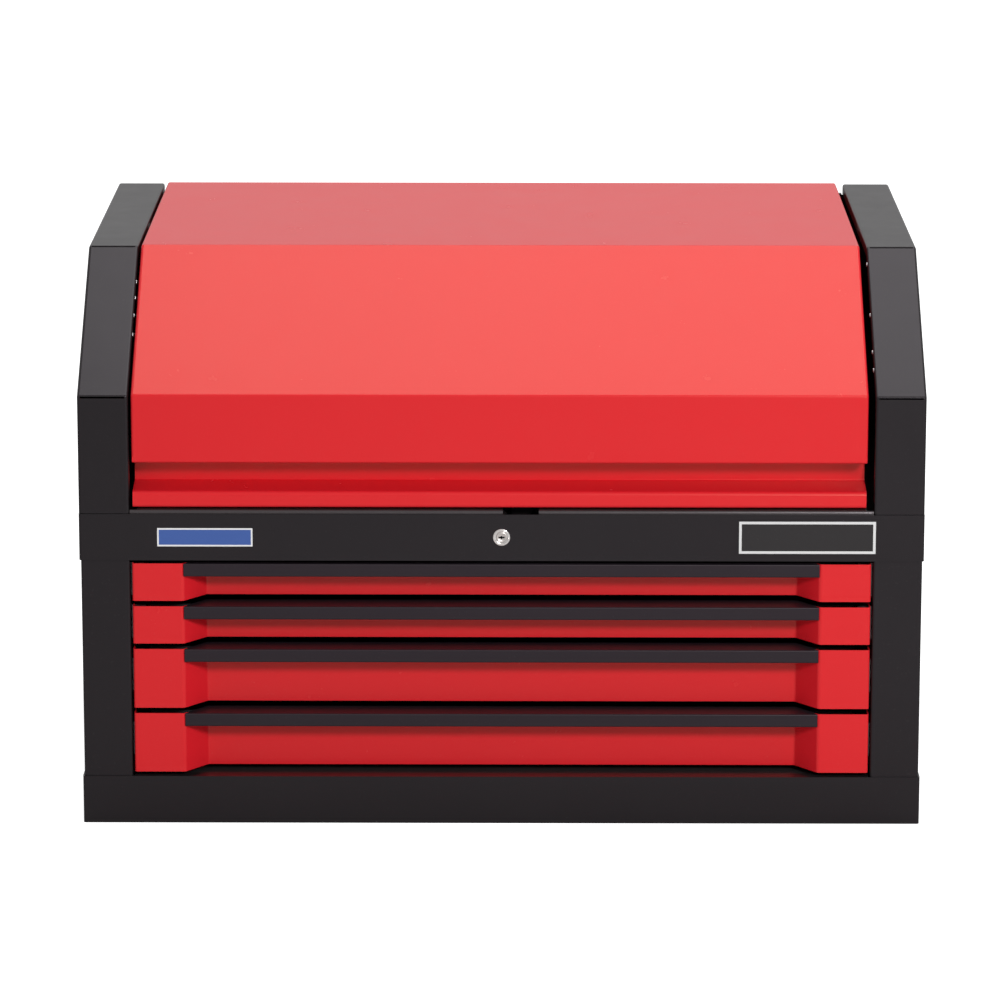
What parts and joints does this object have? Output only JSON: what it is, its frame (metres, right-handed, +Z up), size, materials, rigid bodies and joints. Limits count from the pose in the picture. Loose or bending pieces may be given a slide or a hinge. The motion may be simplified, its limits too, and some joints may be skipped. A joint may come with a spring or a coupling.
{
  "type": "tool chest",
  "caption": "Steel top tool chest with a lift-up lid over a till, recessed drawers with full-length pulls on ball-bearing slides, and a small keyed lock.",
  "frame": {"origin": "on the ground under the middle of the whole object's box", "axes": "+Z up, the drawer fronts face -Y, +X to the right seen from the front"},
  "size_m": [0.673, 0.4608, 0.4481],
  "materials": {
    "red_enamel": "glossy red enamel on sheet steel",
    "black_enamel": "semi-gloss black enamel on sheet steel",
    "inner_enamel": "semi-gloss black enamel inside the case and drawers",
    "pull_black": "black satin extruded pull",
    "chrome": "bright plated lock",
    "zinc_steel": "zinc plated steel",
    "bright_steel": "ground and polished rod",
    "strut_black": "black painted tube",
    "rubber": "matt black rubber"
  },
  "bodies": {
    "case": {"left_side_panel": "black_enamel", "right_side_panel": "black_enamel", "back_panel": "inner_enamel", "case_floor": "inner_enamel", "base_band": "black_enamel", "header_band": "black_enamel", "header_rail": "black_enamel", "till_floor": "inner_enamel", "left_hood_side": "black_enamel", "right_hood_side": "black_enamel", "hood_rivets": "zinc_steel", "left_slide_posts": "inner_enamel", "right_slide_posts": "inner_enamel", "hinge_case_leaf": "zinc_steel", "hinge_pin": "zinc_steel", "hinge_rivets": "zinc_steel", "lid_bumpers": "rubber", "strut_brackets": "zinc_steel", "lock_housing": "chrome", "lock_nut": "zinc_steel", "drawer_1_fixed_rails": "zinc_steel", "drawer_2_fixed_rails": "zinc_steel", "drawer_3_fixed_rails": "zinc_steel", "drawer_4_fixed_rails": "zinc_steel"},
    "lid": {"hinge_lid_leaf": "zinc_steel", "lid_shell": "red_enamel", "lid_hook": "black_enamel", "hook_rivets": "zinc_steel", "strut_lid_studs": "zinc_steel"},
    "strut_cylinders": {"left_strut_cylinder": "strut_black", "right_strut_cylinder": "strut_black"},
    "strut_rods": {"left_strut_rod": "bright_steel", "right_strut_rod": "bright_steel"},
    "lock_cylinder": {"lock_plug": "chrome", "lock_cam": "zinc_steel", "cam_screw": "zinc_steel"},
    "drawer_1": {"drawer_1_front": "red_enamel", "drawer_1_pull": "pull_black", "drawer_1_box": "inner_enamel", "drawer_1_left_runner": "zinc_steel", "drawer_1_right_runner": "zinc_steel"},
    "drawer_1_cages": {"drawer_1_ball_cages": "zinc_steel"},
    "drawer_2": {"drawer_2_front": "red_enamel", "drawer_2_pull": "pull_black", "drawer_2_box": "inner_enamel", "drawer_2_left_runner": "zinc_steel", "drawer_2_right_runner": "zinc_steel"},
    "drawer_2_cages": {"drawer_2_ball_cages": "zinc_steel"},
    "drawer_3": {"drawer_3_front": "red_enamel", "drawer_3_pull": "pull_black", "drawer_3_box": "inner_enamel", "drawer_3_left_runner": "zinc_steel", "drawer_3_right_runner": "zinc_steel"},
    "drawer_3_cages": {"drawer_3_ball_cages": "zinc_steel"},
    "drawer_4": {"drawer_4_front": "red_enamel", "drawer_4_pull": "pull_black", "drawer_4_box": "inner_enamel", "drawer_4_left_runner": "zinc_steel", "drawer_4_right_runner": "zinc_steel"},
    "drawer_4_cages": {"drawer_4_ball_cages": "zinc_steel"}
  },
  "joints": [
    {"name": "lid_hinge", "type": "hinge", "parent": "case", "child": "lid", "pos_m": [0, 0.22655, 0.444], "axis": [-1, 0, 0], "range_deg": [0, 75]},
    {"name": "strut_cylinder_pivot", "type": "hinge", "parent": "case", "child": "strut_cylinders", "pos_m": [0, 0.20115, 0.2659], "axis": [-1, 0, 0], "range_deg": [0, 37.5]},
    {"name": "strut_rod_pivot", "type": "hinge", "parent": "lid", "child": "strut_rods", "pos_m": [0, 0.04675, 0.4381], "axis": [-1, 0, 0], "range_deg": [-37.5, 0]},
    {"name": "lock_turn", "type": "hinge", "parent": "case", "child": "lock_cylinder", "pos_m": [0, -0.22885, 0.2366], "axis": [0, 1, 0], "range_deg": [0, 90]},
    {"name": "drawer_1_slide", "type": "slide", "parent": "case", "child": "drawer_1", "axis": [0, -1, 0], "range_m": [0, 0.3]},
    {"name": "drawer_1_cage_slide", "type": "slide", "parent": "case", "child": "drawer_1_cages", "axis": [0, -1, 0], "range_m": [0, 0.15]},
    {"name": "drawer_2_slide", "type": "slide", "parent": "case", "child": "drawer_2", "axis": [0, -1, 0], "range_m": [0, 0.3]},
    {"name": "drawer_2_cage_slide", "type": "slide", "parent": "case", "child": "drawer_2_cages", "axis": [0, -1, 0], "range_m": [0, 0.15]},
    {"name": "drawer_3_slide", "type": "slide", "parent": "case", "child": "drawer_3", "axis": [0, -1, 0], "range_m": [0, 0.3]},
    {"name": "drawer_3_cage_slide", "type": "slide", "parent": "case", "child": "drawer_3_cages", "axis": [0, -1, 0], "range_m": [0, 0.15]},
    {"name": "drawer_4_slide", "type": "slide", "parent": "case", "child": "drawer_4", "axis": [0, -1, 0], "range_m": [0, 0.3]},
    {"name": "drawer_4_cage_slide", "type": "slide", "parent": "case", "child": "drawer_4_cages", "axis": [0, -1, 0], "range_m": [0, 0.15]}
  ],
  "couplings": [
    {"joint": "strut_cylinder_pivot", "follows": "lid_hinge", "ratio": 0.5},
    {"joint": "strut_rod_pivot", "follows": "lid_hinge", "ratio": -0.5},
    {"joint": "drawer_1_cage_slide", "follows": "drawer_1_slide", "ratio": 0.5},
    {"joint": "drawer_2_cage_slide", "follows": "drawer_2_slide", "ratio": 0.5},
    {"joint": "drawer_3_cage_slide", "follows": "drawer_3_slide", "ratio": 0.5},
    {"joint": "drawer_4_cage_slide", "follows": "drawer_4_slide", "ratio": 0.5}
  ]
}
